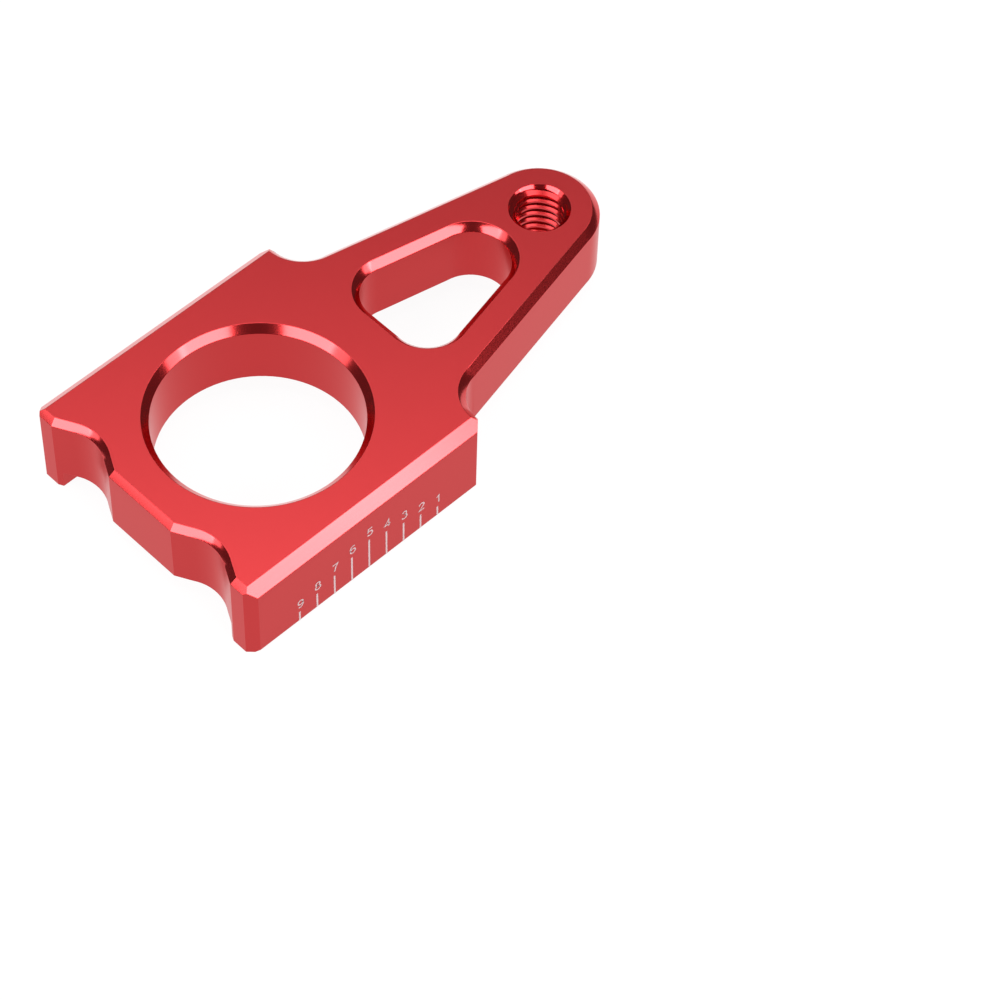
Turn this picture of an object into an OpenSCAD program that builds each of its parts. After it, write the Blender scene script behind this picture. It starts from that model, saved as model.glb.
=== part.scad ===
// Chain adjuster block for a motorcycle swingarm, one piece of machined and anodised aluminium.
// The axle passes through the big bore. The tapered lug carries a threaded hole, and the notched
// end meets the adjusting screw. X runs from the bore to the lug, Y across the block, and Z is up
// from the face that lies on the swingarm. The origin is on the bore's axis at that face.

/* [Body] */
// Width of the body over its two long sides
body_w = 40.8; // [38:0.2:46]
// Distance from the bore's axis to the notched end
end_reach = 19.8; // [18.6:0.1:24]
// Distance from the bore's axis to the shoulders
shoulder_reach = 20.1; // [19:0.1:21]
// Thickness of the plate, lug and all
plate_t = 10.2; // [8:0.1:14]
// Upright facet on each corner, measured along the side
corner_cut = 1.3; // [0.6:0.1:1.8]

/* [Rails] */
// How far the two side rails reach below the plate
rail_drop = 2.8; // [1.5:0.1:6]
// Thickness of each rail
rail_t = 4.3; // [2.5:0.1:5.5]

/* [Axle bore] */
// Diameter of the axle bore
bore_d = 27.5; // [20:0.5:29]
// Chamfer round the top of the axle bore
bore_chamfer = 1.0; // [0.4:0.1:1.5]

/* [Lug] */
// Distance between the axle bore and the threaded hole
hole_distance = 50; // [46:0.5:58]
// Radius of the lug's round end
lug_r = 8; // [7.4:0.1:10]
// Angle of each side of the lug to the long axis
lug_taper = 12.7; // [11:0.1:14]
// Radius of the hollow corner between lug and shoulder
shoulder_r = 5.2; // [4:0.1:5.2]

/* [Threaded hole] */
// Thread diameter at its roots
thread_d = 8; // [6:1:8]
// Diameter of the countersink at the thread's mouth
thread_mouth_d = 8.35; // [8.1:0.05:9]

/* [Window] */
// Metal left between the axle bore and the window
bore_web = 8.2; // [6:0.1:10]
// Metal left between the window and the threaded hole
hole_web = 3.2; // [2.5:0.1:6]
// Width of the metal on each side of the window
side_web = 5.5; // [4.5:0.1:5.8]
// Radius of the window's two corners towards the axle bore
window_r = 4.8; // [2:0.1:6]
// Chamfer round the top of the window
window_chamfer = 1.0; // [0.4:0.1:1.5]

/* [Notches] */
// Distance between the middles of the two notches
notch_spacing = 22.6; // [21.6:0.1:23.4]
// Depth of each notch
notch_depth = 2.15; // [1.4:0.05:2.4]
// Radius of a notch's floor
notch_r = 6; // [4:0.1:7]
// Lean of a notch's sloping sides from the end face
notch_lean = 28; // [26:1:40]

/* [Edges] */
// Chamfer along the long top edges
side_chamfer = 1.45; // [0.8:0.05:1.8]
// Chamfer along the notched end's top edges
end_chamfer = 0.85; // [0.4:0.05:1.2]
// Chamfer along the top edges of lug and shoulders
lug_chamfer = 1.0; // [0.5:0.05:1.4]
// Small chamfer on the underside's edges
under_chamfer = 0.5; // [0.2:0.1:0.8]

/* [Hidden] */
$fn = 96;
past = 1;
// Straight sides cross the arcs they run into at a slight angle, this much inside the tangent
inset = 0.02;
half_w = body_w / 2;
bore_r = bore_d / 2;
thread_r = thread_d / 2;
rail_inner = half_w - rail_t;
block_h = plate_t + rail_drop;

// Window walls: its two ends, and how far its sides lie off lines through the threaded hole's axis.
// The end towards the hole is one arc that touches both sides.
window_near = bore_r + bore_web;
window_far = hole_distance - thread_r - hole_web;
window_off = lug_r - side_web;
window_end_r = (window_off + (hole_distance - window_far) * sin(lug_taper)) / (1 - sin(lug_taper));

// The hollow corner touches the shoulder and the lug's side, so its centre lies on their bisector
corner_half = (90 + lug_taper) / 2;
meet = [shoulder_reach - inset, lug_line(shoulder_reach, lug_r - 2 * inset)];
hollow = meet + shoulder_r / sin(corner_half) * [cos(90 - corner_half), sin(90 - corner_half)];
touch = hollow - shoulder_r * [sin(lug_taper), cos(lug_taper)];

// Notch floors are arcs about centres that lie outside the block
notch_centre = -end_reach + notch_depth - notch_r;

// Height across the block of a line that leans with the lug, off away from the hole's axis
function lug_line(x, off) = off / cos(lug_taper) + (hole_distance - x) * tan(lug_taper);

// Half section of an edge: from the axis out to radius r, with a 45 degree step at top and bottom.
// A step is below 0 on a solid, where it takes metal off, and above 0 on a hollow, where it flares.
module half_section(r, low, high, top, bottom, inner = 0) {
    hollow_cut = top > 0;
    polygon(concat(
        [[-inner, low - (hollow_cut ? past : 0)]],
        hollow_cut ? [[r + bottom, low - past]] : [],
        [[r + bottom, low], [r, low + abs(bottom)], [r, high - abs(top)], [r + top, high]],
        hollow_cut ? [[r + top, high + past]] : [],
        [[-inner, high + (hollow_cut ? past : 0)]]
    ));
}

// Flares of 45 degrees round a hollow's mouth at height 0, c wide there and opening upward:
// one round a corner [x, y, radius], and one along a straight side, on its left
module corner_flare(corner, c) {
    translate([corner[0], corner[1], -c]) cylinder(h = c + past, r1 = corner[2], r2 = corner[2] + c + past);
}

module side_flare(from, to, c) {
    side = to - from;
    translate(from) rotate([0, 0, atan2(side[1], side[0])]) rotate([90, 0, 90])
        linear_extrude(norm(side)) polygon([[-past, -c], [0, -c], [c + past, past], [-past, past]]);
}

module round_corner(corner) {
    translate([corner[0], corner[1]]) circle(corner[2]);
}

function across(p) = [p[0], -p[1]];

// Solid with round corners and chamfered edges: the half section is turned about each corner point
// and drawn along each side. The points run clockwise, so the section stands to their left.
module drawn_round(points, r, low, high, top, bottom) {
    last = len(points) - 1;
    for (i = [0 : last]) {
        from = points[i];
        side = points[i == last ? 0 : i + 1] - from;
        translate(from) {
            rotate_extrude() half_section(r, low, high, top, bottom);
            rotate([0, 0, atan2(side[1], side[0])]) rotate([90, 0, 90]) linear_extrude(norm(side))
                half_section(r - inset, low, high, top, bottom, inner = r / 10);
        }
    }
    translate([0, 0, low]) linear_extrude(high - low) polygon(points);
}

// Bar on a straight edge that takes off a chamfer of c
module edge_bar(c, length) {
    rotate([45, 0, 0]) cube([length, c * sqrt(2), c * sqrt(2)], center = true);
}

// Square body with its four corner facets, rails included
module body_block() {
    translate([0, 0, -rail_drop]) linear_extrude(block_h) polygon([
        [-end_reach, half_w - corner_cut],
        [-end_reach + corner_cut, half_w],
        [shoulder_reach - corner_cut, half_w],
        [shoulder_reach, half_w - corner_cut],
        [shoulder_reach, corner_cut - half_w],
        [shoulder_reach - corner_cut, -half_w],
        [-end_reach + corner_cut, -half_w],
        [-end_reach, corner_cut - half_w]
    ]);
}

// Tapered lug, drawn round the threaded hole and back into the body
module lug() {
    root_x = bore_r;
    root_y = (hole_distance - root_x) * tan(lug_taper);
    drawn_round([[hole_distance, 0], [root_x, -root_y], [root_x, root_y]],
        lug_r, 0, plate_t, -lug_chamfer, -under_chamfer);
}

// Metal that fills the corner between lug and shoulder, before the hollow is cut from it
module shoulder_web() {
    translate([0, 0, -rail_drop]) linear_extrude(block_h) polygon([
        [bore_r, meet[1] - lug_r / 2],
        [bore_r, hollow[1]],
        [shoulder_reach, hollow[1]],
        hollow,
        touch,
        touch - lug_r / 2 * [sin(lug_taper), cos(lug_taper)]
    ]);
}

module shoulder_hollow() {
    translate(hollow) rotate_extrude()
        half_section(shoulder_r, -rail_drop, plate_t, lug_chamfer, under_chamfer);
}

// Shallow notch: a round floor, and two sloping sides that run out through the end face
module notch() {
    touch_at = (notch_r - inset) * [cos(notch_lean), sin(notch_lean)];
    run_out = touch_at + notch_r * [-sin(notch_lean), cos(notch_lean)];
    floor_corner = [0, 0, notch_r];
    translate([notch_centre, notch_spacing / 2, 0]) {
        translate([0, 0, -rail_drop - past]) linear_extrude(block_h + 2 * past) {
            round_corner(floor_corner);
            polygon([touch_at, run_out, across(run_out), across(touch_at)]);
        }
        translate([0, 0, plate_t]) {
            corner_flare(floor_corner, end_chamfer);
            for (side = [0, 1]) mirror([0, side, 0]) side_flare(run_out, touch_at, end_chamfer);
        }
    }
}

// Lightening window: two round corners near the bore, and one round end near the threaded hole
module window() {
    near_x = window_near + window_r;
    near = [near_x, lug_line(near_x, window_off - window_r), window_r];
    end = [window_far - window_end_r, 0, window_end_r];
    slope = [sin(lug_taper), cos(lug_taper)];
    end_touch = [end[0], end[1]] + (window_end_r - inset) * slope;
    near_touch = [near[0], near[1]] + (window_r - inset) * slope;
    near_end = [window_near + inset, near[1]];
    translate([0, 0, -past]) linear_extrude(plate_t + 2 * past) {
        round_corner(end);
        for (side = [0, 1]) mirror([0, side, 0]) round_corner(near);
        polygon([end_touch, near_touch, near_end, across(near_end), across(near_touch), across(end_touch)]);
    }
    for (face = [[plate_t, 0, window_chamfer], [0, 1, under_chamfer]])
        translate([0, 0, face[0]]) mirror([0, 0, face[1]]) {
            corner_flare(end, face[2]);
            for (side = [0, 1]) mirror([0, side, 0]) {
                corner_flare(near, face[2]);
                side_flare(near_touch, end_touch, face[2]);
            }
            side_flare(across(near_end), near_end, face[2]);
        }
}

module axle_bore() {
    rotate_extrude() half_section(bore_r, 0, plate_t, bore_chamfer, under_chamfer);
}

module threaded_hole() {
    translate([hole_distance, 0, 0]) rotate_extrude()
        half_section(thread_r, 0, plate_t, thread_mouth_d / 2 - thread_r, thread_mouth_d / 2 - thread_r);
}

// Hollow between the rails, open at both ends
module channel() {
    reach = end_reach + hole_distance + 2 * lug_r;
    translate([-end_reach - past, -rail_inner, -rail_drop - past])
        cube([reach + 2 * past, 2 * rail_inner, rail_drop + past]);
}

module axle_block() {
    color([0.72, 0.06, 0.08])
    difference() {
        union() {
            body_block();
            lug();
            for (side = [0, 1]) mirror([0, side, 0]) shoulder_web();
        }
        channel();
        axle_bore();
        threaded_hole();
        window();
        for (side = [0, 1]) mirror([0, side, 0]) {
            shoulder_hollow();
            notch();
            translate([0, half_w, plate_t]) edge_bar(side_chamfer, 4 * end_reach);
            translate([0, half_w, -rail_drop]) edge_bar(under_chamfer, 4 * end_reach);
        }
        translate([-end_reach, 0, plate_t]) rotate([0, 0, 90]) edge_bar(end_chamfer, 2 * body_w);
    }
}

axle_block();
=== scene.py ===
# %% [markdown]
# A chain adjuster block is milled from one bar of aluminium, its edges are cut bright with a
# chamfer tool, and then it is anodised red. The solid model already has the true form, so this
# lesson starts from it, rounds the edges by a hair, gives each kind of cut its own finish and
# adds what is too fine for the solid: the thread and the scale.

# %% Load the solid model
import bpy
import bmesh
import math
from mathutils import Matrix, Vector


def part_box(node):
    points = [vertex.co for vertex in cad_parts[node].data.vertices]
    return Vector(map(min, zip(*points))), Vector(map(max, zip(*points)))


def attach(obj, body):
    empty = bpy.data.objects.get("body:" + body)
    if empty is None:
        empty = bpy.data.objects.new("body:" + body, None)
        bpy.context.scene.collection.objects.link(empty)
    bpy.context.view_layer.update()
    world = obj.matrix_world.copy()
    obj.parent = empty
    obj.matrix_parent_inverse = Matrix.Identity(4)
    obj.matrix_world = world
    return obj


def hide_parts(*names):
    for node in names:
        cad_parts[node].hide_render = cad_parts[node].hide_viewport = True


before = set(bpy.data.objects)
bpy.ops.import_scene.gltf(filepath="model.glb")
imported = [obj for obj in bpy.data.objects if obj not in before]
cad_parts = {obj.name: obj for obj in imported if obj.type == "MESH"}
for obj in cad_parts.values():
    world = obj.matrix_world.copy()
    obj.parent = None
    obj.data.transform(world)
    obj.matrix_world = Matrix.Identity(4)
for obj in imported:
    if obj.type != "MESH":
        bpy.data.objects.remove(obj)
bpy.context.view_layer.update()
MM = 0.001
low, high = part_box("axle_block")
print("The block is", [round(v / MM, 2) for v in high - low], "mm over all")

# %% [markdown]
# The view looks down on the block's near corner from its scale side. A long lens keeps the
# block's long edges almost parallel. The camera is placed by the three directions of its own
# frame, because the photograph was taken with the camera rolled a little.

# %% Camera
CAMERA_AT = Vector((-182.858, -219.072, 373.737)) * MM
CAMERA_RIGHT = Vector((0.71429, -0.69952, 0.02164))
CAMERA_UP = Vector((0.55153, 0.58167, 0.59790))
CAMERA_BACK = Vector((-0.43082, -0.41514, 0.80128))
LENS = 131.8


def make_camera():
    data = bpy.data.cameras.new("camera")
    data.sensor_width = 36
    data.lens = LENS
    data.clip_start = 0.01
    data.clip_end = 20
    camera = bpy.data.objects.new("camera", data)
    bpy.context.scene.collection.objects.link(camera)
    turn = Matrix((CAMERA_RIGHT, CAMERA_UP, CAMERA_BACK)).transposed()
    camera.matrix_world = Matrix.Translation(CAMERA_AT) @ turn.to_4x4()
    bpy.context.scene.camera = camera
    return camera


# A plain photographic response keeps the red vivid and lets the pale floor go white
bpy.context.scene.view_settings.view_transform = "Standard"
camera = make_camera()
print("The camera stands", round(CAMERA_AT.length / MM), "mm from the bore's axis")

# %% [markdown]
# Bright-cut metal shows its surroundings, so the lights are chosen by what each chamfer should
# reflect. A soft box stands on each side of the camera, with a dark gap between the two, and a
# weaker box beside each lets its light fade out at the edge. A wide box hangs over the block for
# its satin top. The floor is a pale sheet that glows, as a light table does, so that no hard
# shadow falls on it.

# %% Floor and lights
CAMERA_TURN = math.degrees(math.atan2(CAMERA_BACK.x, -CAMERA_BACK.y))
MIDDLE = (low + high) / 2
SIDE_RISE = 33
SIDE_DISTANCE = 1.2
BOX_HEIGHT = 0.60
EDGE_WIDTH = 0.36
EDGE_HEIGHT = 0.55


def direction(turn, rise):
    """Unit vector towards a place that is turn degrees right of the camera and rise degrees up."""
    a = math.radians(CAMERA_TURN + turn)
    e = math.radians(rise)
    return Vector((math.sin(a) * math.cos(e), -math.cos(a) * math.cos(e), math.sin(e)))


def soft_box(name, turn, rise, distance, width, height, power):
    """A lamp that faces the block, with its angles in degrees, sizes in metres, power in watts."""
    data = bpy.data.lights.new(name, "AREA")
    data.shape = "RECTANGLE"
    data.size = width
    data.size_y = height
    data.energy = power
    light = bpy.data.objects.new(name, data)
    bpy.context.scene.collection.objects.link(light)
    way = direction(turn, rise)
    turned = way.to_track_quat("Z", "Y").to_matrix().to_4x4()
    light.matrix_world = Matrix.Translation(MIDDLE + way * distance) @ turned
    return light


def make_floor(size=3.0, grey=0.06, glow=0.94):
    half = size / 2
    mesh = bpy.data.meshes.new("floor")
    corners = [(-half, -half), (half, -half), (half, half), (-half, half)]
    mesh.from_pydata([(x, y, low.z) for x, y in corners], [], [(0, 1, 2, 3)])
    floor = bpy.data.objects.new("floor", mesh)
    bpy.context.scene.collection.objects.link(floor)
    sheet = bpy.data.materials.new("pale_floor")
    sheet.use_nodes = True
    shader = sheet.node_tree.nodes["Principled BSDF"]
    shader.inputs["Base Color"].default_value = (grey, grey, grey, 1)
    shader.inputs["Roughness"].default_value = 0.9
    shader.inputs["Specular IOR Level"].default_value = 0
    shader.inputs["Emission Color"].default_value = (1, 1, 1, 1)
    shader.inputs["Emission Strength"].default_value = glow
    mesh.materials.append(sheet)
    return floor


def make_world(seen=0.95, around=0.09):
    """The room is dim for the metal's reflections and pale where the camera sees past the floor."""
    world = bpy.data.worlds.new("studio")
    bpy.context.scene.world = world
    world.use_nodes = True
    nodes = world.node_tree.nodes
    links = world.node_tree.links
    nodes.clear()
    path = nodes.new("ShaderNodeLightPath")
    dim = nodes.new("ShaderNodeBackground")
    dim.inputs["Color"].default_value = (around, around, around, 1)
    pale = nodes.new("ShaderNodeBackground")
    pale.inputs["Color"].default_value = (seen, seen, seen, 1)
    mix = nodes.new("ShaderNodeMixShader")
    out = nodes.new("ShaderNodeOutputWorld")
    links.new(path.outputs["Is Camera Ray"], mix.inputs["Fac"])
    links.new(dim.outputs["Background"], mix.inputs[1])
    links.new(pale.outputs["Background"], mix.inputs[2])
    links.new(mix.outputs["Shader"], out.inputs["Surface"])


floor = make_floor()
make_world()
soft_box("right_box", 52, SIDE_RISE, SIDE_DISTANCE, width=0.86, height=BOX_HEIGHT, power=12.5)
soft_box("right_edge", 80, SIDE_RISE, SIDE_DISTANCE, EDGE_WIDTH, EDGE_HEIGHT, power=2.6)
soft_box("left_box", -46, SIDE_RISE, SIDE_DISTANCE, width=0.82, height=BOX_HEIGHT, power=11)
soft_box("left_edge", -74, SIDE_RISE, SIDE_DISTANCE, EDGE_WIDTH, EDGE_HEIGHT, power=1.6)
soft_box("top_box", 180, rise=82, distance=1.4, width=1.8, height=1.30, power=20.5)
print("Floor at", round(low.z / MM, 2), "mm, five soft boxes")

# %% [markdown]
# Anodised aluminium is a metal seen through a thin dyed layer with a clear skin. A metallic
# shader gives the dye its colour in the reflections, and a coat adds the white gleam of the
# skin. The three finishes differ in roughness: a fine satin on the faces, the soft sheen of the
# milling cutter on the walls, and a near mirror on the chamfers. A bump of very fine noise keeps
# the faces and walls from looking like plastic.

# %% Finishes
RED = (0.62, 0.010, 0.014, 1)
WALL_RED = (0.50, 0.009, 0.011, 1)
EDGE_TINT = (1.0, 0.45, 0.45, 1)
METALLIC = 0.955
SKIN_IOR = 1.5
GRAIN_DEPTH = 0.02 * MM


def metal(name, colour, roughness, coat, coat_roughness):
    made = bpy.data.materials.new(name)
    made.use_nodes = True
    shader = made.node_tree.nodes["Principled BSDF"]
    shader.inputs["Base Color"].default_value = colour
    shader.inputs["Metallic"].default_value = METALLIC
    shader.inputs["Specular Tint"].default_value = EDGE_TINT
    shader.inputs["Roughness"].default_value = roughness
    shader.inputs["Coat Weight"].default_value = coat
    shader.inputs["Coat Roughness"].default_value = coat_roughness
    shader.inputs["Coat IOR"].default_value = SKIN_IOR
    return made


def add_grain(made, stretch, scale, strength, distance):
    """A fine bump of noise, stretched along the cutter's path."""
    nodes = made.node_tree.nodes
    links = made.node_tree.links
    place = nodes.new("ShaderNodeTexCoord")
    mapping = nodes.new("ShaderNodeMapping")
    mapping.inputs["Scale"].default_value = stretch
    noise = nodes.new("ShaderNodeTexNoise")
    noise.inputs["Scale"].default_value = scale
    noise.inputs["Detail"].default_value = 3
    bump = nodes.new("ShaderNodeBump")
    bump.inputs["Strength"].default_value = strength
    bump.inputs["Distance"].default_value = distance
    links.new(place.outputs["Object"], mapping.inputs["Vector"])
    links.new(mapping.outputs["Vector"], noise.inputs["Vector"])
    links.new(noise.outputs["Fac"], bump.inputs["Height"])
    links.new(bump.outputs["Normal"], made.node_tree.nodes["Principled BSDF"].inputs["Normal"])


satin_face = metal("satin_anodised_face", RED, roughness=0.33, coat=1.0, coat_roughness=0.33)
milled_wall = metal("milled_anodised_wall", WALL_RED, roughness=0.30, coat=0.6, coat_roughness=0.30)
bright_cut = metal("bright_cut_chamfer", RED, roughness=0.17, coat=1.0, coat_roughness=0.15)
add_grain(satin_face, stretch=(1, 1, 1), scale=9000, strength=0.08, distance=GRAIN_DEPTH)
add_grain(milled_wall, stretch=(0.15, 0.15, 1), scale=6000, strength=0.10, distance=GRAIN_DEPTH)
finishes = [satin_face, milled_wall, bright_cut]
FACE, WALL, CHAMFER = range(len(finishes))
print("Finishes:", [f.name for f in finishes])

# %% [markdown]
# The block itself: a copy of the solid's mesh, with its loose triangles merged into whole faces,
# and its shortest edges closed up, so that the bevel runs clean past them.
# The plain hole's wall is taken out, because the thread brings its own. Each face gets its
# finish by the way it faces, then a Bevel modifier breaks every sharp edge by a few hundredths
# of a millimetre, as tumbling and anodising do, and Weighted Normals keep the flats flat.

# %% The block
HOLE_X = 50 * MM
MOUTH_R = 4.175 * MM
EDGE_BREAK = 0.045 * MM
SHORTEST_EDGE = 0.1 * MM
SAME_POINT = 0.0005 * MM
SAME_PLANE = math.radians(0.3)
SHARP = math.radians(14)

# The upright share of a face's normal is above FLAT on a level face and above SLOPED on a chamfer
FLAT = 0.95
SLOPED = 0.4


def merged_copy(node, name):
    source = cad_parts[node]
    copy = bpy.data.objects.new(name, source.data.copy())
    bpy.context.scene.collection.objects.link(copy)
    copy.data.materials.clear()
    for finish in finishes:
        copy.data.materials.append(finish)
    shape = bmesh.new()
    shape.from_mesh(copy.data)
    bmesh.ops.remove_doubles(shape, verts=shape.verts, dist=SAME_POINT)
    hole = [f for f in shape.faces if in_hole(f.calc_center_median()) and abs(f.normal.z) < FLAT]
    bmesh.ops.delete(shape, geom=hole, context="FACES")
    bmesh.ops.dissolve_limit(shape, angle_limit=SAME_PLANE, verts=shape.verts, edges=shape.edges)
    bmesh.ops.remove_doubles(shape, verts=shape.verts, dist=SHORTEST_EDGE)
    for f in shape.faces:
        f.smooth = True
        f.material_index = finish_of(f.normal)
    shape.to_mesh(copy.data)
    shape.free()
    return copy


def in_hole(p):
    return math.hypot(p.x - HOLE_X, p.y) < MOUTH_R


def finish_of(normal):
    level = abs(normal.z)
    if level > FLAT:
        return FACE
    return CHAMFER if level > SLOPED else WALL


def finished(piece, name):
    """A plain mesh of what the piece's modifiers make, in its place."""
    graph = bpy.context.evaluated_depsgraph_get()
    mesh = bpy.data.meshes.new_from_object(piece.evaluated_get(graph))
    made = bpy.data.objects.new(name, mesh)
    bpy.context.scene.collection.objects.link(made)
    bpy.data.objects.remove(piece)
    return made


def make_block():
    rough = merged_copy("axle_block", "rough_block")
    bevel = rough.modifiers.new("edge_break", "BEVEL")
    bevel.width = EDGE_BREAK
    bevel.segments = 2
    bevel.limit_method = "ANGLE"
    bevel.angle_limit = SHARP
    bevel.use_clamp_overlap = False
    weigh = rough.modifiers.new("flat_faces", "WEIGHTED_NORMAL")
    weigh.mode = "FACE_AREA"
    weigh.weight = 50
    return finished(rough, "block")


block = make_block()
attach(block, "root")
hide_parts("axle_block")
used = [sum(p.material_index == i for p in block.data.polygons) for i in range(len(finishes))]
print("Block:", len(block.data.polygons), "faces, by finish", used)

# %% [markdown]
# The hole at the lug's end has a metric thread of 1.25 mm pitch. A thread's surface is a rule:
# one turn round the hole lifts the same profile by one pitch. Geometry Nodes bend a flat grid
# into it, and where the countersink is wider than the thread, the countersink wins, so the first
# turns run out in the cone as a real tap leaves them.

# %% Geometry Nodes helpers
def new_tree(name, inputs):
    tree = bpy.data.node_groups.new(name, "GeometryNodeTree")
    tree.interface.new_socket("Geometry", in_out="INPUT", socket_type="NodeSocketGeometry")
    for title, value in inputs.items():
        kind = "NodeSocketInt" if isinstance(value, int) else "NodeSocketFloat"
        tree.interface.new_socket(title, in_out="INPUT", socket_type=kind).default_value = value
    tree.interface.new_socket("Geometry", in_out="OUTPUT", socket_type="NodeSocketGeometry")
    start = tree.nodes.new("NodeGroupInput")
    end = tree.nodes.new("NodeGroupOutput")
    return tree, start, end


def calc(tree, operation, *values):
    """A Math node; each value is a number or another node's output. Returns its output."""
    node = tree.nodes.new("ShaderNodeMath")
    node.operation = operation
    for i, value in enumerate(values):
        if isinstance(value, (int, float)):
            node.inputs[i].default_value = value
        else:
            tree.links.new(value, node.inputs[i])
    return node.outputs[0]


def end_tree(tree, end, geometry, material):
    realize = tree.nodes.new("GeometryNodeRealizeInstances")
    paint = tree.nodes.new("GeometryNodeSetMaterial")
    paint.inputs["Material"].default_value = material
    tree.links.new(geometry, realize.inputs["Geometry"])
    tree.links.new(realize.outputs["Geometry"], paint.inputs["Geometry"])
    tree.links.new(paint.outputs["Geometry"], end.inputs["Geometry"])


def grow(tree, name, values):
    """Runs a tree on an empty object with the given named inputs, and keeps the plain mesh."""
    seed = bpy.data.objects.new(name + "_seed", bpy.data.meshes.new(name + "_seed"))
    bpy.context.scene.collection.objects.link(seed)
    modifier = seed.modifiers.new(name, "NODES")
    modifier.node_group = tree
    for socket in tree.interface.items_tree:
        if socket.in_out == "INPUT" and socket.name in values:
            modifier[socket.identifier] = values[socket.name]
    return finished(seed, name)


# %% Thread
PITCH = 1.25 * MM
ROOT_R = 4.0 * MM
CREST_R = 3.32 * MM
ROWS_PER_TURN = 16
ROUND = 96
PLATE_TOP = high.z
SAME_THREAD_POINT = 0.002 * MM
THREAD_SHARP = math.radians(28)

# Shares of the pitch: the crest's flat, the root's flat and one flank between them
CREST_FLAT = 1 / 4
ROOT_FLAT = 1 / 8
FLANK = (1 - CREST_FLAT - ROOT_FLAT) / 2

# One turn more than the wall is high, because the first starts a pitch below it
TURNS = math.ceil(PLATE_TOP / PITCH) + 1
THREAD_SIZES = {"Pitch": PITCH, "Root radius": ROOT_R, "Crest radius": CREST_R,
                "Mouth radius": MOUTH_R, "Height": PLATE_TOP, "Hole X": HOLE_X, "Turns": TURNS}
dyed_thread = metal("thread_flanks", RED, roughness=0.15, coat=0.8, coat_roughness=0.10)


def thread_tree():
    tree, start, end = new_tree("thread", THREAD_SIZES)
    grid = tree.nodes.new("GeometryNodeMeshGrid")
    grid.inputs["Size X"].default_value = 1
    grid.inputs["Size Y"].default_value = 1
    grid.inputs["Vertices X"].default_value = ROUND + 1
    rows = calc(tree, "MULTIPLY_ADD", start.outputs["Turns"], ROWS_PER_TURN, 1)
    tree.links.new(rows, grid.inputs["Vertices Y"])
    place = tree.nodes.new("GeometryNodeInputPosition")
    split = tree.nodes.new("ShaderNodeSeparateXYZ")
    tree.links.new(place.outputs[0], split.inputs[0])
    turn = calc(tree, "ADD", split.outputs["X"], 0.5)
    along = calc(tree, "MULTIPLY", calc(tree, "ADD", split.outputs["Y"], 0.5), start.outputs["Turns"])
    pitch = start.outputs["Pitch"]

    # Height on the wall, one pitch higher after each turn, kept between the two faces
    rise = calc(tree, "MULTIPLY", calc(tree, "SUBTRACT", calc(tree, "ADD", along, turn), 1), pitch)
    height = calc(tree, "MINIMUM", calc(tree, "MAXIMUM", rise, 0), start.outputs["Height"])

    # Profile of a metric thread: from the middle of a crest, up a straight flank to a root
    wave = calc(tree, "PINGPONG", along, 0.5)
    slope = calc(tree, "DIVIDE", calc(tree, "SUBTRACT", wave, CREST_FLAT / 2), FLANK)
    share = calc(tree, "MINIMUM", calc(tree, "MAXIMUM", slope, 0), 1)
    depth = calc(tree, "SUBTRACT", start.outputs["Root radius"], start.outputs["Crest radius"])
    profile = calc(tree, "MULTIPLY_ADD", share, depth, start.outputs["Crest radius"])

    # Countersinks of 45 degrees at both mouths
    from_top = calc(tree, "SUBTRACT", start.outputs["Height"], height)
    nearest = calc(tree, "MINIMUM", from_top, height)
    cone = calc(tree, "SUBTRACT", start.outputs["Mouth radius"], nearest)
    radius = calc(tree, "MAXIMUM", profile, cone)

    angle = calc(tree, "MULTIPLY", turn, 2 * math.pi)
    join = tree.nodes.new("ShaderNodeCombineXYZ")
    across = calc(tree, "MULTIPLY", radius, calc(tree, "COSINE", angle))
    tree.links.new(calc(tree, "ADD", across, start.outputs["Hole X"]), join.inputs["X"])
    tree.links.new(calc(tree, "MULTIPLY", radius, calc(tree, "SINE", angle)), join.inputs["Y"])
    tree.links.new(height, join.inputs["Z"])
    bend = tree.nodes.new("GeometryNodeSetPosition")
    tree.links.new(grid.outputs["Mesh"], bend.inputs["Geometry"])
    tree.links.new(join.outputs[0], bend.inputs["Position"])
    weld = tree.nodes.new("GeometryNodeMergeByDistance")
    weld.inputs["Distance"].default_value = SAME_THREAD_POINT
    tree.links.new(bend.outputs["Geometry"], weld.inputs["Geometry"])
    flip = tree.nodes.new("GeometryNodeFlipFaces")
    tree.links.new(weld.outputs["Geometry"], flip.inputs["Mesh"])
    end_tree(tree, end, flip.outputs["Mesh"], dyed_thread)
    return tree


def make_thread():
    thread = grow(thread_tree(), "thread", THREAD_SIZES)
    thread.data.polygons.foreach_set("use_smooth", [True] * len(thread.data.polygons))
    thread.data.set_sharp_from_angle(angle=THREAD_SHARP)
    return thread


thread = make_thread()
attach(thread, "root")
print("Thread:", len(thread.data.polygons), "faces,", round(PLATE_TOP / PITCH, 1), "turns")

# %% [markdown]
# The long side carries a scale of nine marks, burnt through the dye by a laser so that they show
# off-white. Their lengths follow a rule too, longest in the middle, so one node tree sets them
# out along the wall. The numbers are drawn from a few strokes each, as the laser draws them, one
# above each mark.

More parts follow.
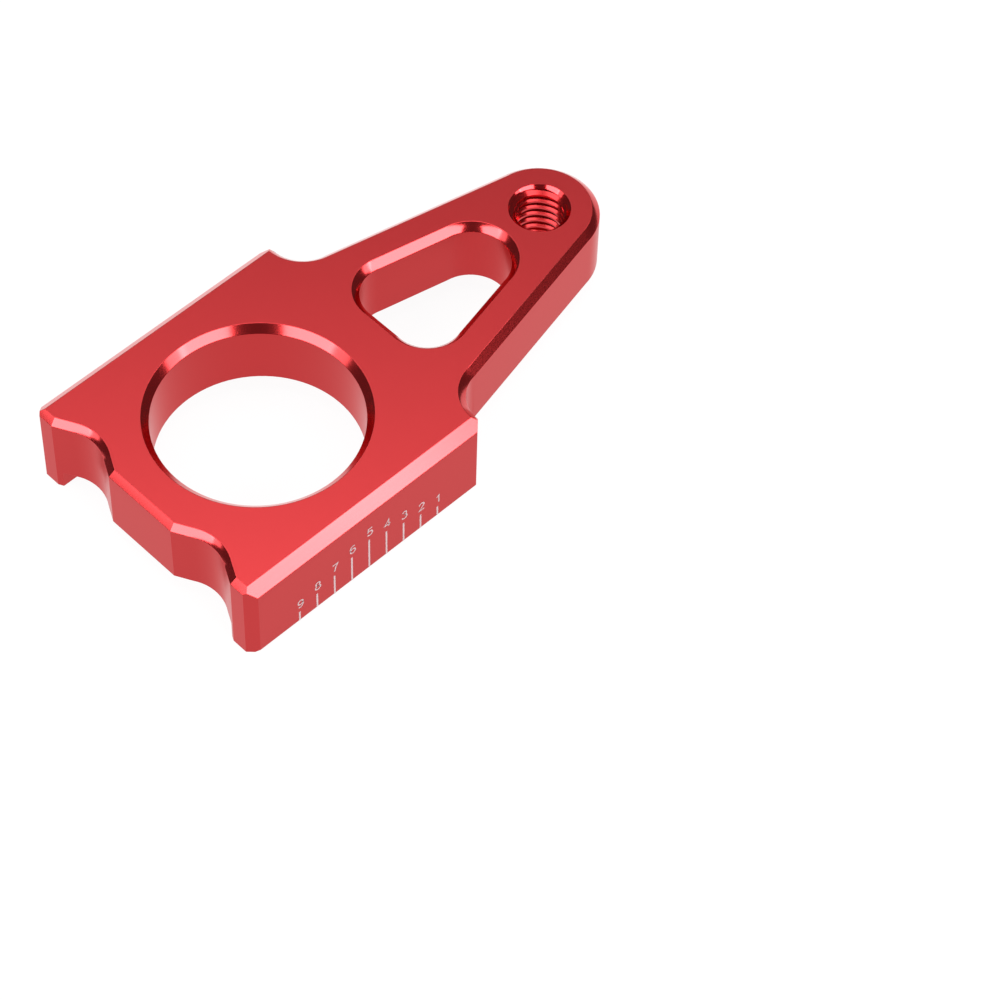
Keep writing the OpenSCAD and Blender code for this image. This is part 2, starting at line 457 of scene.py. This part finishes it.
# %% Scale marks
MARKS = 9
MARK_STEP = 2.97 * MM
MARK_W = 0.28 * MM
LONGEST = 5.75 * MM
SHORTENING = 1.0 * MM
SHORTEST = LONGEST - SHORTENING * (MARKS - 1) / 2
MIDDLE_MARK_X = 0.0 * MM
MARK_FOOT = -2.3 * MM
PROUD = 0.008 * MM
WALL_Y = low.y
MARK_SIZES = {"Count": MARKS, "Step": MARK_STEP, "Width": MARK_W, "Longest": LONGEST,
              "Shortening": SHORTENING, "Middle X": MIDDLE_MARK_X, "Foot": MARK_FOOT,
              "Wall Y": WALL_Y, "Proud": PROUD}
LASER_WHITE = (0.50, 0.36, 0.37, 1)

laser_white = bpy.data.materials.new("laser_white")
laser_white.use_nodes = True
shader = laser_white.node_tree.nodes["Principled BSDF"]
shader.inputs["Base Color"].default_value = LASER_WHITE
shader.inputs["Roughness"].default_value = 0.7


def marks_tree():
    tree, start, end = new_tree("scale_marks", MARK_SIZES)
    line = tree.nodes.new("GeometryNodeMeshLine")
    tree.links.new(start.outputs["Count"], line.inputs["Count"])
    half_run = calc(tree, "MULTIPLY", calc(tree, "SUBTRACT", start.outputs["Count"], 1), 0.5)
    first = calc(tree, "SUBTRACT", start.outputs["Middle X"],
                 calc(tree, "MULTIPLY", half_run, start.outputs["Step"]))
    begin = tree.nodes.new("ShaderNodeCombineXYZ")
    tree.links.new(first, begin.inputs["X"])
    tree.links.new(start.outputs["Wall Y"], begin.inputs["Y"])
    tree.links.new(start.outputs["Foot"], begin.inputs["Z"])
    tree.links.new(begin.outputs[0], line.inputs["Start Location"])
    step = tree.nodes.new("ShaderNodeCombineXYZ")
    tree.links.new(start.outputs["Step"], step.inputs["X"])
    tree.links.new(step.outputs[0], line.inputs["Offset"])

    bar = tree.nodes.new("GeometryNodeMeshCube")
    stand = tree.nodes.new("GeometryNodeTransform")
    stand.inputs["Translation"].default_value = (0, 0, 0.5)
    tree.links.new(bar.outputs["Mesh"], stand.inputs["Geometry"])
    index = tree.nodes.new("GeometryNodeInputIndex")
    off = calc(tree, "ABSOLUTE", calc(tree, "SUBTRACT", index.outputs[0], half_run))
    tall = calc(tree, "SUBTRACT", start.outputs["Longest"],
                calc(tree, "MULTIPLY", off, start.outputs["Shortening"]))
    size = tree.nodes.new("ShaderNodeCombineXYZ")
    tree.links.new(start.outputs["Width"], size.inputs["X"])
    tree.links.new(calc(tree, "MULTIPLY", start.outputs["Proud"], 2), size.inputs["Y"])
    tree.links.new(tall, size.inputs["Z"])
    put = tree.nodes.new("GeometryNodeInstanceOnPoints")
    tree.links.new(line.outputs["Mesh"], put.inputs["Points"])
    tree.links.new(stand.outputs["Geometry"], put.inputs["Instance"])
    tree.links.new(size.outputs[0], put.inputs["Scale"])
    end_tree(tree, end, put.outputs["Instances"], laser_white)
    return tree


marks = grow(marks_tree(), "scale_marks", MARK_SIZES)
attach(marks, "root")
print("Scale:", MARKS, "marks from", round(SHORTEST / MM, 2), "to", round(LONGEST / MM, 2), "mm long")

# %% Scale numbers
DIGIT_H = 1.45 * MM
DIGIT_UNIT_W = 1.75 * MM
DIGIT_GAP = 0.85 * MM
DIGIT_SHIFT = 0.2 * MM


def arc(x, y, rx, ry, start, end, steps=14):
    """Points on an ellipse about (x, y), between two angles in degrees."""
    turns = [math.radians(start + (end - start) * i / steps) for i in range(steps + 1)]
    return [(x + rx * math.cos(a), y + ry * math.sin(a)) for a in turns]


# The strokes of each digit, in a cell that is one unit high; a digit's foot is at 0
STROKES = {
    1: [[(0.10, 0.76), (0.32, 1.0), (0.32, 0)]],
    2: [arc(0.29, 0.72, 0.23, 0.26, 175, -35) + [(0.04, 0.03), (0.55, 0.03)]],
    3: [arc(0.27, 0.75, 0.20, 0.23, 160, -90) + arc(0.27, 0.27, 0.25, 0.25, 90, -160)],
    4: [[(0.42, 0), (0.42, 1.0), (0.02, 0.28), (0.58, 0.28)]],
    5: [[(0.50, 0.97), (0.13, 0.97)] + arc(0.27, 0.32, 0.25, 0.30, 140, -155)],
    6: [arc(0.30, 0.31, 0.24, 0.29, 0, 360), arc(0.33, 0.50, 0.27, 0.48, 55, 200)],
    7: [[(0.02, 0.97), (0.54, 0.97), (0.34, 0.62), (0.20, 0)]],
    8: [arc(0.29, 0.75, 0.20, 0.23, 0, 360), arc(0.29, 0.26, 0.25, 0.26, 0, 360)],
}
STROKES[9] = [[(0.60 - x, 1 - y) for x, y in stroke] for stroke in STROKES[6]]
DIGIT_MIDDLE = 0.30
STROKE_W = 0.20 * MM
MITRE_LIMIT = 0.5


def draw_stroke(shape, points):
    """A ribbon of the stroke's width on the wall, mitred at each bend. Points are (x, z)."""
    rails = []
    for i, point in enumerate(points):
        before = (point - points[i - 1]).normalized() if i else (points[1] - point).normalized()
        after = (points[i + 1] - point).normalized() if i < len(points) - 1 else before
        bend = (before + after).normalized()
        side = Vector((-bend.y, bend.x)) * (STROKE_W / 2 / max(bend.dot(after), MITRE_LIMIT))
        rails.append([shape.verts.new((p.x, WALL_Y - PROUD, p.y)) for p in (point + side, point - side)])
    for (left, right), (next_left, next_right) in zip(rails, rails[1:]):
        shape.faces.new((left, right, next_right, next_left))


def make_numbers():
    shape = bmesh.new()
    for i in range(MARKS):
        off = i - (MARKS - 1) / 2
        foot = MARK_FOOT + LONGEST - SHORTENING * abs(off) + DIGIT_GAP
        left = MIDDLE_MARK_X + off * MARK_STEP + DIGIT_SHIFT - DIGIT_MIDDLE * DIGIT_UNIT_W
        for stroke in STROKES[MARKS - i]:
            draw_stroke(shape, [Vector((left + x * DIGIT_UNIT_W, foot + z * DIGIT_H)) for x, z in stroke])
    mesh = bpy.data.meshes.new("scale_numbers")
    shape.to_mesh(mesh)
    shape.free()
    mesh.materials.append(laser_white)
    numbers = bpy.data.objects.new("scale_numbers", mesh)
    bpy.context.scene.collection.objects.link(numbers)
    return numbers


numbers = make_numbers()
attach(numbers, "root")
facing = sum(p.normal.y * p.area for p in numbers.data.polygons)
print("Numbers: 9 down to 1,", len(numbers.data.polygons), "faces, facing", "out" if facing < 0 else "in")
